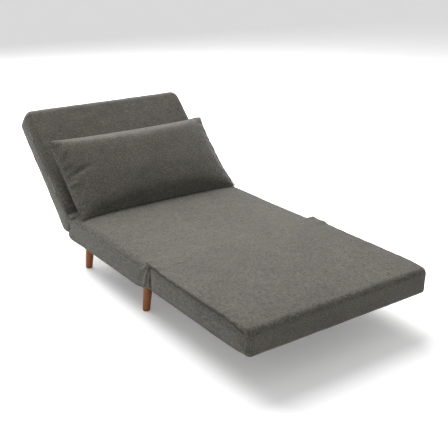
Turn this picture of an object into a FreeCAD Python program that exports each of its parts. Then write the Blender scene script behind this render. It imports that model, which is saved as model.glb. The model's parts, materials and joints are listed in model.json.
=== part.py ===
import FreeCAD, Part
import math
import os
import re

# A convertible futon chair-bed.  Three upholstered sections stand in a row along Y: a front
# section that folds over the seat, the seat on four wooden legs, and a backrest on ratchet
# hinges.  A loose pillow leans on the backrest and a pull-out support carries the front
# section.  +Z is up, the foot end points to -Y, and the origin is on the floor under the
# middle of the whole object.

doc = FreeCAD.newDocument("futon_sofa_bed")
sheet = doc.addObject("Spreadsheet::Sheet", "Sizes")

# Driving dimensions in millimetres and degrees.  Y places count from the fold line between
# the front section and the seat, Z places from the floor.
CELLS = {
    "width": 800,              # across every section
    "fold_place": -277.7,      # Y of the fold line in the part's own frame
    "fold_height": 235,        # height of the fold hinge's axis
    "under_side": 136,         # height of the sections' underside
    "top_gap": 1,              # how far the section tops lie under the hinge axis
    "front_end": 569,          # fold line to the foot end
    "seat_end": 655,           # fold line to the rear face of the seat
    "pivot_place": 700,        # fold line to the backrest's pivot
    "pivot_height": 185,
    "recline": 43.2,           # backrest above the horizontal
    "back_half": 49,           # half the backrest's thickness
    "back_end": 543,           # pivot to the backrest's top end
    "groove": 51,              # radius of the hollow in the seat that clears the backrest
    "cloth": 1.5,              # thickness of the upholstery fabric
    "edge_round": 12,          # rounding of the upholstered edges
    "rail": 25,                # thickness of a frame rail
    "rail_tall": 44,
    "rail_out": 385,           # middle plane to the outer face of a side rail
    "slat": 8,                 # thickness of a slat
    "slat_wide": 56,
    "front_low": 160,          # underside of the front section's frame
    "front_high": 200,         # top of the front section's frame
    "frame_margin": 14,        # foot end to the front section's frame
    "frame_rear": 640,         # fold line to the rear end of the seat's frame
    "back_start": 30,          # pivot to the lower end of the backrest's frame
    "back_stop": 520,          # pivot to the upper end of the backrest's frame
    "batten_tall": 22,
    "hinge_rail": 18,          # thickness of the plywood rail behind a hinge leaf
    "rail_under": 6,           # hinge axis down to the top of the hinge rails
    "screw_under": 17,         # hinge axis down to the hinge screws
    "screw": 1.75,             # radius of a hinge screw's shank
    "screw_long": 14,
    "screw_head": 3.2,
    "screw_hole": 1.8,
    "leaf": 1,                 # hinge leaf thickness
    "leaf_gap": 0.3,           # fold plane to the inner face of a leaf
    "leaf_tall": 27,
    "knuckle": 2.5,            # outer radius of the hinge knuckles
    "pin": 1.25,
    "running": 0.05,           # radial clearance of a pin in its hole
    "leg_top": 19,             # radius of a leg at the plate
    "leg_foot": 14,            # radius of a leg at the floor
    "leg_place": 340,          # middle plane to the leg's axis at its top
    "leg_front": 115,
    "leg_rear": 592,
    "leg_block": 30,           # side of the wooden block a leg is bolted to
    "splay": 6,                # outward lean of a leg
    "plate": 2,                # leg mounting plate thickness
    "glide": 3,                # felt glide under a foot
    "bolt": 4,                 # radius of a leg's hanger bolt
    "arm_in": 351.7,           # middle plane to the ratchet arm's inner face
    "arm": 4,                  # thickness of the arm and of the bracket
    "arm_end": 240,            # pivot to the end of the arm
    "plate_gap": 0.3,          # between the arm and the bracket
    "wing_start": 530,         # fold line to the bracket's front end
    "pawl_place": 652,         # fold line to the pawl's pin
    "pawl_pin": 2.5,
    "pawl_boss": 7,
    "pawl_gap": 0.4,           # pawl's nose to the tips of the teeth
    "slot_low": 163,           # limits of the slots for the brackets in the seat's rear face
    "slot_high": 207,
    "slot_side": 8,            # room beside the arm and the bracket
    "pivot": 6,                # radius of the pivot bolt
    "head": 20,                # radius of the toothed head and the bracket's eye
    "support_half": 190,       # middle plane to a slide bar's axis
    "support_out": 340,        # fold line to the support's legs
    "bar_wide": 30,
    "bar_tall": 20,
    "tube_wall": 1.5,
    "guide_start": 62,         # fold line to the two ends of a guide
    "guide_stop": 590,
    "guide_wall": 2,
    "guide_room": 0.5,         # between a slide bar and its guide
    "guide_screw": 2,
    "bar_rear": 205,           # fold line to the rear end of a slide bar
    "support_tube": 11,        # radius of the support's legs
    "pillow_high": 185,        # half the pillow's height
    "pillow_wide": 380,        # half the pillow's width
    "pillow_thick": 67,        # half the pillow's thickness
    "pillow_up": 138,          # pivot to the pillow's middle, along the backrest
}

for row, (alias, value) in enumerate(CELLS.items(), start=1):
    sheet.set(f"A{row}", alias)
    sheet.set(f"B{row}", str(value))
    sheet.setAlias(f"B{row}", alias)
doc.recompute()

SLAT_COUNT = 8          # slats under each section
HINGE_SCREWS = 8        # screws in each leaf of the fold hinge
KNUCKLES = 15           # knuckles along the fold hinge
TEETH = 12              # teeth round a ratchet head


def formula(text):
    """Point every cell name in a formula at the sheet."""
    return re.sub(r"[a-z_]{3,}", lambda m: "Sizes." + m[0] if m[0] in CELLS else m[0], str(text))


def bind(thing, **properties):
    for name, text in properties.items():
        thing.setExpression(name.replace("__", "."), formula(text))


def turned(thing, axis, angle):
    thing.Placement = FreeCAD.Placement(FreeCAD.Vector(), FreeCAD.Rotation(axis, angle))


X_AXIS, Y_AXIS = FreeCAD.Vector(1, 0, 0), FreeCAD.Vector(0, 1, 0)


def place(thing, at, frame):
    """Put a primitive's own origin at (x, y, z) formulas of a frame.

    In the "flat" frame Y counts from the fold line and Z from the floor.  In the "back" frame
    both count from the backrest's pivot, Y up along the backrest and Z out of its front face.
    """
    x, y, z = at
    if frame == "back":
        bind(thing,
             Placement__Base__x=x,
             Placement__Base__y=f"fold_place + pivot_place + cos(recline) * ({y}) - sin(recline) * ({z})",
             Placement__Base__z=f"pivot_height + sin(recline) * ({y}) + cos(recline) * ({z})")
    else:
        bind(thing, Placement__Base__x=x, Placement__Base__y=f"fold_place + ({y})", Placement__Base__z=z)


def box(name, low, high, frame="flat"):
    """A block between two corners, each given as three formulas."""
    made = doc.addObject("Part::Box", name)
    if frame == "back":
        turned(made, X_AXIS, CELLS["recline"])
        bind(made, Placement__Rotation__Angle="recline")
    bind(made, **{side: f"({b}) - ({a})" for side, a, b in zip(("Length", "Width", "Height"), low, high)})
    place(made, low, frame)
    return made


def rod(name, radius, start, length, along="x", frame="flat"):
    """A cylinder that starts at three formulas and runs along an axis of its frame."""
    made = doc.addObject("Part::Cylinder", name)
    if along == "x":
        turned(made, Y_AXIS, 90)
    elif along == "y":
        turned(made, X_AXIS, -90 + (CELLS["recline"] if frame == "back" else 0))
    bind(made, Radius=radius, Height=length)
    place(made, start, frame)
    return made


def joined(name, *parts):
    made = doc.addObject("Part::MultiFuse", name)
    made.Shapes = list(parts)
    made.Refine = True
    return made


def common(name, *parts):
    made = doc.addObject("Part::MultiCommon", name)
    made.Shapes = list(parts)
    return made


def group(name, parts):
    made = doc.addObject("Part::Compound", name)
    made.Links = list(parts)
    return made


def cut(name, base, *tools):
    made = doc.addObject("Part::Cut", name)
    made.Base = base
    made.Tool = tools[0] if len(tools) == 1 else group(name + "_tools", tools)
    return made


def rounded(name, base, radius, wanted):
    """Round the edges of a block or rod whose middle, in its own frame, passes the test."""
    doc.recompute()
    own = base.Placement.inverse()
    picked = []
    for number, edge in enumerate(base.Shape.Edges, start=1):
        middle = own.multVec(edge.valueAt((edge.FirstParameter + edge.LastParameter) / 2))
        if wanted(edge, middle):
            picked.append((number, radius, radius))
    made = doc.addObject("Part::Fillet", name)
    made.Base = base
    made.Edges = picked
    return made


nodes = []


def node(thing, name):
    """Name a finished sub-part."""
    thing.Label = name
    nodes.append(thing)
    return thing


def both_sides(name, make):
    """Make a sub-part on the left (-X) and on the right (+X) from one function of the sign."""
    for side, sign in (("left", -1), ("right", 1)):
        node(make(f"{name}_{side}_shape", sign), f"{name}_{side}")


def spread(first, last, count):
    """Evenly spaced places from first to last."""
    return [first + (last - first) * n / (count - 1) for n in range(count)]


def across(sign, near, far):
    """X limits of a piece between two distances from the middle plane, on one side."""
    return (near, far) if sign > 0 else (f"-({far})", f"-({near})")


# ---------------------------------------------------------------- upholstered blocks

def flat_block(name, near, far, inset):
    """A front or seat block, every edge rounded, drawn in from the outside by an inset."""
    block = box(name + "_block",
                (f"-width / 2 + {inset}", f"{near} + {inset}", f"under_side + {inset}"),
                (f"width / 2 - {inset}", f"{far} - {inset}", f"fold_height - top_gap - {inset}"))
    return rounded(name, block, CELLS["edge_round"] - inset, lambda edge, middle: True)


def back_block(name, inset):
    """The backrest block: a round lower end about the pivot and rounded edges elsewhere."""
    slab = box(name + "_slab",
               (f"-width / 2 + {inset}", "0", f"-back_half + {inset}"),
               (f"width / 2 - {inset}", f"back_end - {inset}", f"back_half - {inset}"), "back")
    nose = rod(name + "_nose", f"back_half - {inset}", (f"-width / 2 + {inset}", "0", "0"),
               f"width - 2 * {inset}", frame="back")
    radius = CELLS["edge_round"] - inset
    slab = rounded(name + "_slab_round", slab, radius, lambda edge, middle: middle.y > 1)
    nose = rounded(name + "_nose_round", nose, radius,
                   lambda edge, middle: edge.Curve.TypeId.endswith("Circle"))
    return joined(name, slab, nose)


def screw_places():
    return spread(-0.92 * CELLS["rail_out"], 0.92 * CELLS["rail_out"], HINGE_SCREWS)


def hinge_holes(name, sign, radius):
    """Holes for the fold hinge's screws, on the seat side (+1) or the front side (-1)."""
    start = "leaf_gap" if sign > 0 else "-leaf_gap - leaf - hinge_rail - 2 * cloth"
    return [rod(f"{name}_{n}", radius, (x, start, "fold_height - screw_under"),
                "leaf + hinge_rail + 2 * cloth", along="y")
            for n, x in enumerate(screw_places())]


def hinge_rail(name, sign, near, far, low, inside):
    """A plywood board behind a hinge leaf, its edges rounded to fit inside the cover."""
    board = box(name + "_board", ("-rail_out", near, low), ("rail_out", far, RAIL_TOP))
    return cut(name, common(name + "_round", board, inside), *hinge_holes(name + "_hole", sign, "screw_hole"))


def slats(name, first, last, level, half, frame="flat"):
    made = []
    for n, y in enumerate(spread(first, last, SLAT_COUNT)):
        made.append(box(f"{name}_{n}", (f"-({half})", y, level),
                        (half, f"{y} + slat_wide", f"{level} + slat"), frame))
    return node(group(name + "_group", made), name)


# ---------------------------------------------------------------- front section

FRONT_FACE = "-leaf_gap - leaf"                        # cloth of the front section at the fold line
FRONT_RAIL = f"{FRONT_FACE} - cloth - hinge_rail"      # far face of its plywood hinge rail
FRONT_START = "-front_end + frame_margin"              # foot end of its frame
FRONT_RAIL_LOW = "under_side + 2 * cloth"
RAIL_TOP = "fold_height - rail_under"
FRONT_SLATS = (-549, -85)                              # first and last slat

front_outer = flat_block("front_outer", "-front_end", FRONT_FACE, 0)
front_inner = flat_block("front_inner", "-front_end", FRONT_FACE, CELLS["cloth"])
node(cut("front_cover_shape", front_outer, front_inner, *hinge_holes("front_cover_hole", -1, "screw_hole")),
     "front_cover")

front_recess = box("front_recess", ("-rail_out", FRONT_START, "front_low"),
                   ("rail_out", FRONT_RAIL, "front_high + slat"))
front_rail_room = box("front_rail_room", ("-rail_out", FRONT_RAIL, FRONT_RAIL_LOW), ("rail_out", "0", RAIL_TOP))
front_filling = flat_block("front_filling", "-front_end", FRONT_FACE, CELLS["cloth"])
node(cut("front_foam_shape", front_filling, front_recess, front_rail_room), "front_foam")
front_inside = flat_block("front_inside", "-front_end", FRONT_FACE, CELLS["cloth"])
node(hinge_rail("front_hinge_rail_shape", -1, FRONT_RAIL, f"{FRONT_FACE} - cloth", FRONT_RAIL_LOW,
                front_inside), "front_hinge_rail")


def front_side_rail(name, sign):
    low, high = across(sign, "rail_out - rail", "rail_out")
    return box(name, (low, FRONT_START, "front_low"), (high, FRONT_RAIL, "front_high"))


both_sides("front_side_rail", front_side_rail)
node(box("front_end_rail_shape", ("-rail_out + rail", FRONT_START, "front_low"),
         ("rail_out - rail", f"{FRONT_START} + rail", "front_high")), "front_end_rail")
slats("front_slats", *FRONT_SLATS, "front_high", "rail_out")

# ---------------------------------------------------------------- seat

SEAT_FACE = "leaf_gap + leaf"            # cloth of the seat at the fold line
SEAT_RAIL = f"{SEAT_FACE} + cloth + hinge_rail"
FRAME_LOW = "under_side + cloth"
FRAME_HIGH = "under_side + cloth + rail_tall"
SEAT_SLATS = (24, 583)                   # first and last slat
DUST_MARGIN = 10                         # frame's outside to the edge of the dust cover


def groove(name, extra):
    """The hollow in the seat's rear face, about the backrest's pivot."""
    return rod(name, f"groove + {extra}", ("-width", "pivot_place", "pivot_height"), "2 * width")


def bracket_slots(name):
    """Slots through the seat's rear face for the ratchet brackets and pawls."""
    made = []
    for n, sign in enumerate((-1, 1)):
        low, high = across(sign, "arm_in - slot_side", "arm_in + 2 * arm + slot_side")
        made.append(box(f"{name}_{n}", (low, "frame_rear", "slot_low"), (high, "pivot_place", "slot_high")))
    return made


def dust_sheet(name, low):
    """The area that the dust cover closes under the seat's frame."""
    return box(name, (f"-rail_out + {DUST_MARGIN}", f"{SEAT_RAIL} + {DUST_MARGIN}", low),
               (f"rail_out - {DUST_MARGIN}", f"frame_rear - {DUST_MARGIN}", "under_side + cloth"))


seat_outer = flat_block("seat_outer", SEAT_FACE, "seat_end", 0)
seat_inner = flat_block("seat_inner", SEAT_FACE, "seat_end", CELLS["cloth"])
seat_hollow = cut("seat_hollow", seat_inner, groove("seat_inner_groove", "cloth"))
node(cut("seat_cover_shape", seat_outer, seat_hollow, groove("seat_cover_groove", "0"),
         dust_sheet("under_opening", "under_side - 1"), *bracket_slots("seat_cover_slot"),
         *hinge_holes("seat_cover_hole", 1, "screw_hole")), "seat_cover")

seat_filling = flat_block("seat_filling", SEAT_FACE, "seat_end", CELLS["cloth"])
seat_recess = box("seat_recess", ("-rail_out", SEAT_RAIL, "under_side"),
                  ("rail_out", "frame_rear", f"{FRAME_HIGH} + slat"))
seat_rail_room = box("seat_rail_room", ("-rail_out", "0", "under_side"), ("rail_out", SEAT_RAIL, RAIL_TOP))
node(cut("seat_foam_shape", seat_filling, groove("seat_foam_groove", "cloth"), seat_recess, seat_rail_room,
         *bracket_slots("seat_foam_slot")), "seat_foam")
seat_inside = flat_block("seat_inside", SEAT_FACE, "seat_end", CELLS["cloth"])
node(hinge_rail("seat_hinge_rail_shape", 1, f"{SEAT_FACE} + cloth", SEAT_RAIL, FRAME_LOW, seat_inside),
     "seat_hinge_rail")


def seat_side_rail(name, sign):
    low, high = across(sign, "rail_out - rail", "rail_out")
    return box(name, (low, SEAT_RAIL, FRAME_LOW), (high, "frame_rear", FRAME_HIGH))


both_sides("seat_side_rail", seat_side_rail)
node(box("seat_rear_rail_shape", ("-arm_in - arm + plate_gap", "frame_rear - rail", FRAME_LOW),
         ("arm_in + arm - plate_gap", "frame_rear", FRAME_HIGH)), "seat_rear_rail")
slats("seat_slats", *SEAT_SLATS, FRAME_HIGH, "rail_out")

LEGS = [(sign, y) for y in ("leg_front", "leg_rear") for sign in (-1, 1)]
BLOCK_HIGH = f"{FRAME_LOW} + 27"
BATTENS = ((180, 220), (480, 520))                  # Y limits of the cross battens
GUIDE_SCREWS = [(sign, y) for sign in (-1, 1) for y in (192, 208, 492, 508)]
GUIDE_SCREW_HIGH = "under_side + 18"


def leg_bores(name, radius, low, high):
    return [rod(f"{name}_{n}", radius, (f"{sign} * leg_place", y, low), f"({high}) - ({low})", along="z")
            for n, (sign, y) in enumerate(LEGS)]


def guide_bores(name, low):
    """Rods where the guides' screws go, from a level up into the battens."""
    return [rod(f"{name}_{n}", "guide_screw", (f"{sign} * support_half", y, low),
                f"{GUIDE_SCREW_HIGH} - ({low})", along="z")
            for n, (sign, y) in enumerate(GUIDE_SCREWS)]


blocks = [box(f"block_{n}",
              (f"{sign} * leg_place - leg_block / 2", f"{y} - leg_block / 2", FRAME_LOW),
              (f"{sign} * leg_place + leg_block / 2", f"{y} + leg_block / 2", BLOCK_HIGH))
          for n, (sign, y) in enumerate(LEGS)]
node(cut("leg_blocks_shape", group("leg_block_group", blocks),
         *leg_bores("block_bore", "bolt + running", "under_side", BLOCK_HIGH)), "leg_blocks")
battens = [box(f"batten_{n}", ("-rail_out + rail", low, FRAME_LOW),
               ("rail_out - rail", high, f"{FRAME_LOW} + batten_tall"))
           for n, (low, high) in enumerate(BATTENS)]
node(cut("cross_battens_shape", group("batten_group", battens), *guide_bores("batten_bore", "under_side")),
     "cross_battens")
node(cut("dust_cover_shape", dust_sheet("dust_cover_sheet", "under_side + 0.5"),
         *leg_bores("dust_bore", "bolt + running", "under_side", BLOCK_HIGH),
         *guide_bores("dust_guide_bore", "under_side")), "dust_cover")

# ---------------------------------------------------------------- legs

PLATE_HIGH = "under_side + 0.5"          # the plates press a little into the dust cover
LEG_HIGH = f"{PLATE_HIGH} - plate"
PLATE_HALF = 28
BORE_DEEP = 36                           # depth of the bolt's hole in a leg
CONE_MARGIN = 10                         # how far the raw cone runs past both ends of a leg


def leg(name, sign, y):
    """A round tapered leg that leans outward, cut flat at the plate and at the glide."""
    cone = doc.addObject("Part::Cone", name + "_cone")
    turned(cone, FreeCAD.Vector(0, -sign, 0), CELLS["splay"])
    bind(cone, Radius1="leg_foot", Radius2="leg_top", Height=f"under_side + 2 * {CONE_MARGIN}",
         Placement__Rotation__Angle="splay")
    place(cone, (f"{sign} * (leg_place + (under_side + {CONE_MARGIN}) * tan(splay))", y, -CONE_MARGIN), "flat")
    slab = box(name + "_slab", ("-width", f"{y} - leg_block", "glide"), ("width", f"{y} + leg_block", LEG_HIGH))
    bore = rod(name + "_bore", "bolt + running", (f"{sign} * leg_place", y, f"{LEG_HIGH} - {BORE_DEEP}"),
               f"{BORE_DEEP} + plate", along="z")
    return cut(name, common(name + "_body", cone, slab), bore)


for place_name, leg_y in (("front", "leg_front"), ("rear", "leg_rear")):
    both_sides(f"leg_{place_name}", lambda name, sign, leg_y=leg_y: leg(name, sign, leg_y))

plates = [box(f"plate_{n}", (f"{sign} * leg_place - {PLATE_HALF}", f"{y} - {PLATE_HALF}", LEG_HIGH),
              (f"{sign} * leg_place + {PLATE_HALF}", f"{y} + {PLATE_HALF}", PLATE_HIGH))
          for n, (sign, y) in enumerate(LEGS)]
node(cut("leg_plates_shape", group("plate_group", plates),
         *leg_bores("plate_bore", "bolt + running", LEG_HIGH, "under_side + 1")), "leg_plates")
leg_bolts = leg_bores("leg_bolt", "bolt", f"{LEG_HIGH} - {BORE_DEEP} + 1", f"{BLOCK_HIGH} + 9")
node(group("leg_bolts_group", leg_bolts), "leg_bolts")


def nut(name, sign, y):
    prism = doc.addObject("Part::Prism", name + "_prism")
    prism.Polygon = 6
    bind(prism, Circumradius="bolt * 1.8", Height="bolt * 1.6")
    place(prism, (f"{sign} * leg_place", y, BLOCK_HIGH), "flat")
    bore = rod(name + "_bore", "bolt + running", (f"{sign} * leg_place", y, BLOCK_HIGH), "bolt * 2", along="z")
    return cut(name, prism, bore)


node(group("leg_nuts_group", [nut(f"nut_{n}", *spot) for n, spot in enumerate(LEGS)]), "leg_nuts")
node(group("leg_glides_group",
           [rod(f"glide_{n}", "leg_foot - 1", (f"{sign} * (leg_place + under_side * tan(splay))", y, "0"),
                "glide", along="z") for n, (sign, y) in enumerate(LEGS)]), "leg_glides")

# ---------------------------------------------------------------- fold hinge

HINGE_HALF = CELLS["rail_out"] - 5


def knuckle_limits(first):
    """X limits of every second knuckle, with a small gap to its neighbours."""
    long = 2 * HINGE_HALF / KNUCKLES
    return [(-HINGE_HALF + long * n + 0.15, long - 0.3) for n in range(first, KNUCKLES, 2)]


def hinge_leaf(name, sign, first):
    """A leaf of the piano hinge, with its own half of the knuckles."""
    def wall(part, x, span, low, high):
        near = "leaf_gap" if sign > 0 else "-leaf_gap - leaf"
        far = "leaf_gap + leaf" if sign > 0 else "-leaf_gap"
        return box(part, (x, near, low), (x + span, far, high))

    parts = [wall(name + "_wall", -HINGE_HALF, 2 * HINGE_HALF, "fold_height - leaf_tall",
                  "fold_height - knuckle - 0.1")]
    for n, (x, span) in enumerate(knuckle_limits(first)):
        parts.append(rod(f"{name}_knuckle_{n}", "knuckle", (x, "0", "fold_height"), span))
        parts.append(wall(f"{name}_tab_{n}", x, span, "fold_height - knuckle - 0.2", "fold_height - pin - 0.2"))
    bore = rod(name + "_bore", "pin + running", (-HINGE_HALF - 1, "0", "fold_height"), 2 * HINGE_HALF + 2)
    return cut(name, joined(name + "_body", *parts), bore, *hinge_holes(name + "_hole", sign, "screw_head"))


def hinge_screws(name, sign):
    """Countersunk screws: the head fills the leaf's hole and the shank goes into the rail."""
    head_y, shank_y = "leaf_gap", "leaf_gap + leaf"
    if sign < 0:
        head_y, shank_y = "-leaf_gap - leaf", "-leaf_gap - leaf - screw_long"
    made = []
    for n, x in enumerate(screw_places()):
        level = "fold_height - screw_under"
        head = rod(f"{name}_head_{n}", "screw_head", (x, head_y, level), "leaf", along="y")
        shank = rod(f"{name}_shank_{n}", "screw", (x, shank_y, level), "screw_long", along="y")
        made.append(joined(f"{name}_{n}", head, shank))
    return group(name, made)


node(hinge_leaf("hinge_leaf_front_shape", -1, 1), "hinge_leaf_front")
node(hinge_leaf("hinge_leaf_seat_shape", 1, 0), "hinge_leaf_seat")
node(rod("hinge_pin_rod", "pin", (-HINGE_HALF, "0", "fold_height"), 2 * HINGE_HALF), "hinge_pin")
node(hinge_screws("hinge_screws_front_group", -1), "hinge_screws_front")
node(hinge_screws("hinge_screws_seat_group", 1), "hinge_screws_seat")

# ---------------------------------------------------------------- backrest

BACK_LOW = "-back_half + cloth + 0.5"
BACK_HIGH = f"{BACK_LOW} + rail_tall"
BACK_SLATS = (60, 460)                   # first and last slat
NOTCH_LOW, NOTCH_UP = -26, 9             # behind the bracket at the bed pose, above it when upright


def nose_notches(name):
    """Notches in the round lower end, open towards the seat, for the fixed brackets."""
    made = []
    for n, sign in enumerate((-1, 1)):
        low, high = across(sign, "arm_in - slot_side", "arm_in + 2 * arm + slot_side")
        made.append(box(f"{name}_slot_{n}", (low, "-back_half - 10", NOTCH_LOW),
                        (high, NOTCH_UP, "back_half + 10"), "back"))
        made.append(rod(f"{name}_eye_{n}", "head + 7", (low, "0", "0"), f"({high}) - ({low})", frame="back"))
    return made


def arm_recesses(name):
    """Room in the foam for the arms on their way from the pivot to the frame."""
    made = []
    for n, sign in enumerate((-1, 1)):
        low, high = across(sign, "arm_in", "arm_in + arm")
        made.append(box(f"{name}_{n}", (low, "0", "-back_half + cloth"), (high, "back_start", "14"), "back"))
    return made


node(cut("back_cover_shape", back_block("back_outer", 0), back_block("back_inner", CELLS["cloth"]),
         *nose_notches("back_cover")), "back_cover")
back_recess = box("back_recess", ("-rail_out", "back_start", "-back_half"),
                  ("rail_out", "back_stop", f"{BACK_HIGH} + slat"), "back")
node(cut("back_foam_shape", back_block("back_filling", CELLS["cloth"]), back_recess,
         *nose_notches("back_foam"), *arm_recesses("back_foam_arm")), "back_foam")


def back_side_rail(name, sign):
    low, high = across(sign, "arm_in + arm", "arm_in + arm + rail")
    return box(name, (low, "back_start", BACK_LOW), (high, "back_stop", BACK_HIGH), "back")


both_sides("back_side_rail", back_side_rail)
node(box("back_lower_rail_shape", ("-arm_in + plate_gap", "back_start", BACK_LOW),
         ("arm_in - plate_gap", "back_start + rail", BACK_HIGH), "back"), "back_lower_rail")
node(box("back_top_rail_shape", ("-arm_in - arm", "back_stop - rail", BACK_LOW),
         ("arm_in + arm", "back_stop", BACK_HIGH), "back"), "back_top_rail")
slats("back_slats", *BACK_SLATS, BACK_HIGH, "arm_in + arm + rail", "back")

# ---------------------------------------------------------------- ratchet hinges


WING_HIGH = f"{FRAME_HIGH} - 1.5"        # the bracket lies under the slats
NECK_LOW = "pivot_height - head"
BOLT_HEAD, BOLT_HEAD_LONG = 11, 5        # radius and length of the pivot bolt's head and nut
TOOTH_GAP = 2.2                          # radius of the gap between two teeth
TEETH_FROM, TEETH_SPAN = 95, 190         # angles round the head, from the way up the backrest
ARM_SCREWS = (90, 150, 210)              # pivot to the arm's screws


def bracket(name, sign):
    """The fixed plate: screwed inside the seat's side rail, with an eye on the pivot."""
    low, high = across(sign, "arm_in + arm + plate_gap", "rail_out - rail")
    wing = box(name + "_wing", (low, "wing_start", "under_side + 9"), (high, "frame_rear", WING_HIGH))
    neck = box(name + "_neck", (low, "frame_rear - 2 * head", NECK_LOW), (high, "frame_rear + 10", WING_HIGH))
    web = box(name + "_web", (low, "frame_rear + 1", NECK_LOW), (high, "pivot_place", "pivot_height + 13"))
    eye = rod(name + "_eye", "head", (low, "pivot_place", "pivot_height"), f"({high}) - ({low})")
    holes = [rod(name + "_pivot_hole", "pivot + running", (low, "pivot_place", "pivot_height"), "arm"),
             rod(name + "_pawl_hole", "pawl_pin", (low, "pawl_place", "pivot_height"), "arm")]
    return cut(name, joined(name + "_body", wing, neck, web, eye), *holes)


def ratchet_arm(name, sign):
    """The moving plate: a toothed head on the pivot and a bar along the backrest's side rail."""
    low, high = across(sign, "arm_in", "arm_in + arm")
    head = rod(name + "_head", "head", (low, "0", "0"), "arm", frame="back")
    neck = box(name + "_neck", (low, "0", "-17"), (high, "44", "4"), "back")
    bar = box(name + "_bar", (low, "back_start", "-42"), (high, "arm_end", "-8"), "back")
    gaps = [rod(name + "_pivot_hole", "pivot + running", (low, "0", "0"), "arm", frame="back")]
    for n, turn in enumerate(spread(TEETH_FROM, TEETH_FROM + TEETH_SPAN, TEETH)):
        angle = math.radians(turn)
        y, z = f"head * {math.cos(angle):.5f}", f"head * {math.sin(angle):.5f}"
        gaps.append(rod(f"{name}_gap_{n}", TOOTH_GAP, (low, y, z), "arm", frame="back"))
    return cut(name, joined(name + "_body", head, neck, bar), *gaps)


def pawl(name, sign):
    """The spring pawl on the bracket, its nose just clear of the teeth."""
    low, high = across(sign, "arm_in", "arm_in + arm")
    boss = rod(name + "_boss", "pawl_boss", (low, "pawl_place", "pivot_height"), "arm")
    nose = box(name + "_nose", (low, "pawl_place", "pivot_height - 4"),
               (high, "pivot_place - head - pawl_gap", "pivot_height + 4"))
    hole = rod(name + "_hole", "pawl_pin + running", (low, "pawl_place", "pivot_height"), "arm")
    return cut(name, joined(name + "_body", boss, nose), hole)


def pivot_bolt(name, sign):
    """Shank, head on the outer side and lock nut on the inner side."""
    head = across(sign, "rail_out - rail + 0.1", f"rail_out - rail + 0.1 + {BOLT_HEAD_LONG}")[0]
    nut = across(sign, f"arm_in - 0.1 - {BOLT_HEAD_LONG}", "arm_in - 0.1")[0]
    shank = across(sign, f"arm_in - 0.1 - {BOLT_HEAD_LONG}", "rail_out - rail + 0.2")[0]
    return joined(
        name,
        rod(name + "_shank", "pivot", (shank, "pivot_place", "pivot_height"),
            f"rail_out - rail - arm_in + 0.3 + {BOLT_HEAD_LONG}"),
        rod(name + "_head", BOLT_HEAD, (head, "pivot_place", "pivot_height"), BOLT_HEAD_LONG),
        rod(name + "_nut", BOLT_HEAD, (nut, "pivot_place", "pivot_height"), BOLT_HEAD_LONG))


def pawl_pin(name, sign):
    low = across(sign, "arm_in - 5", "rail_out - rail")[0]
    return rod(name, "pawl_pin", (low, "pawl_place", "pivot_height"), "rail_out - rail - arm_in + 5")


def pawl_spring(name, sign):
    """The coil of the pawl's torsion spring, round its pin."""
    ring = doc.addObject("Part::Torus", name)
    turned(ring, Y_AXIS, 90)
    bind(ring, Radius1="pawl_pin + 1.7", Radius2="1")
    place(ring, (f"{sign} * (arm_in - 2)", "pawl_place", "pivot_height"), "flat")
    return ring


def arm_screws(name, sign):
    """Heads of the screws that hold the arm to the backrest's side rail."""
    low = across(sign, "arm_in - 2", "arm_in")[0]
    return [rod(f"{name}_{n}", "5", (low, y, "-25"), "2", frame="back") for n, y in enumerate(ARM_SCREWS)]


def pair(name, make):
    """One node that holds a piece of each side."""
    node(group(name + "_group", [make(f"{name}_{n}", sign) for n, sign in enumerate((-1, 1))]), name)


both_sides("ratchet_bracket", bracket)
both_sides("ratchet_arm", ratchet_arm)
both_sides("ratchet_pawl", pawl)
pair("pivot_bolts", pivot_bolt)
pair("pawl_pins", pawl_pin)
pair("pawl_springs", pawl_spring)
node(group("arm_screws_group", arm_screws("arm_screw_left", -1) + arm_screws("arm_screw_right", 1)),
     "arm_screws")

# ---------------------------------------------------------------- pull-out support

BAR_HIGH = "under_side - guide_wall"
BAR_LOW = f"{BAR_HIGH} - bar_tall"
SUPPORT_BAR = 10                         # half the width of the cross bar
PADS = (-150, 0, 150)                    # X places of the felt pads


def guide(name, sign):
    """A sleeve under the seat frame that a slide bar runs in."""
    wall = "bar_wide / 2 + guide_room + guide_wall"
    room = "bar_wide / 2 + guide_room"
    outer = box(name + "_outer",
                (f"{sign} * support_half - ({wall})", "guide_start", f"{BAR_LOW} - guide_room - guide_wall"),
                (f"{sign} * support_half + ({wall})", "guide_stop", f"{BAR_HIGH} + guide_room + guide_wall"))
    inner = box(name + "_inner",
                (f"{sign} * support_half - ({room})", "guide_start - 1", f"{BAR_LOW} - guide_room"),
                (f"{sign} * support_half + ({room})", "guide_stop + 1", f"{BAR_HIGH} + guide_room"))
    bores = [rod(f"{name}_bore_{n}", "guide_screw", (f"{sign} * support_half", y, f"{BAR_HIGH} + guide_room"),
                 "2 * guide_wall", along="z")
             for n, (side, y) in enumerate(GUIDE_SCREWS) if side == sign]
    return cut(name, outer, inner, *bores)


def slide_bar(name, sign):
    """A rectangular steel tube that runs in its guide."""
    def tube(part, inset, ends):
        return box(part, (f"{sign} * support_half - bar_wide / 2 + {inset}",
                          f"-support_out + {SUPPORT_BAR} - {ends}", f"{BAR_LOW} + {inset}"),
                   (f"{sign} * support_half + bar_wide / 2 - {inset}", f"bar_rear + {ends}",
                    f"{BAR_HIGH} - {inset}"))
    return cut(name, tube(name + "_outer", 0, 0), tube(name + "_inner", CELLS["tube_wall"], 1))


def support_leg(name, sign):
    return rod(name, "support_tube", (f"{sign} * support_half", "-support_out", "glide"),
               f"{BAR_LOW} - glide", along="z")


def support_foot(name, sign):
    return rod(name, "support_tube + 2", (f"{sign} * support_half", "-support_out", "0"), "glide", along="z")


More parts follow.
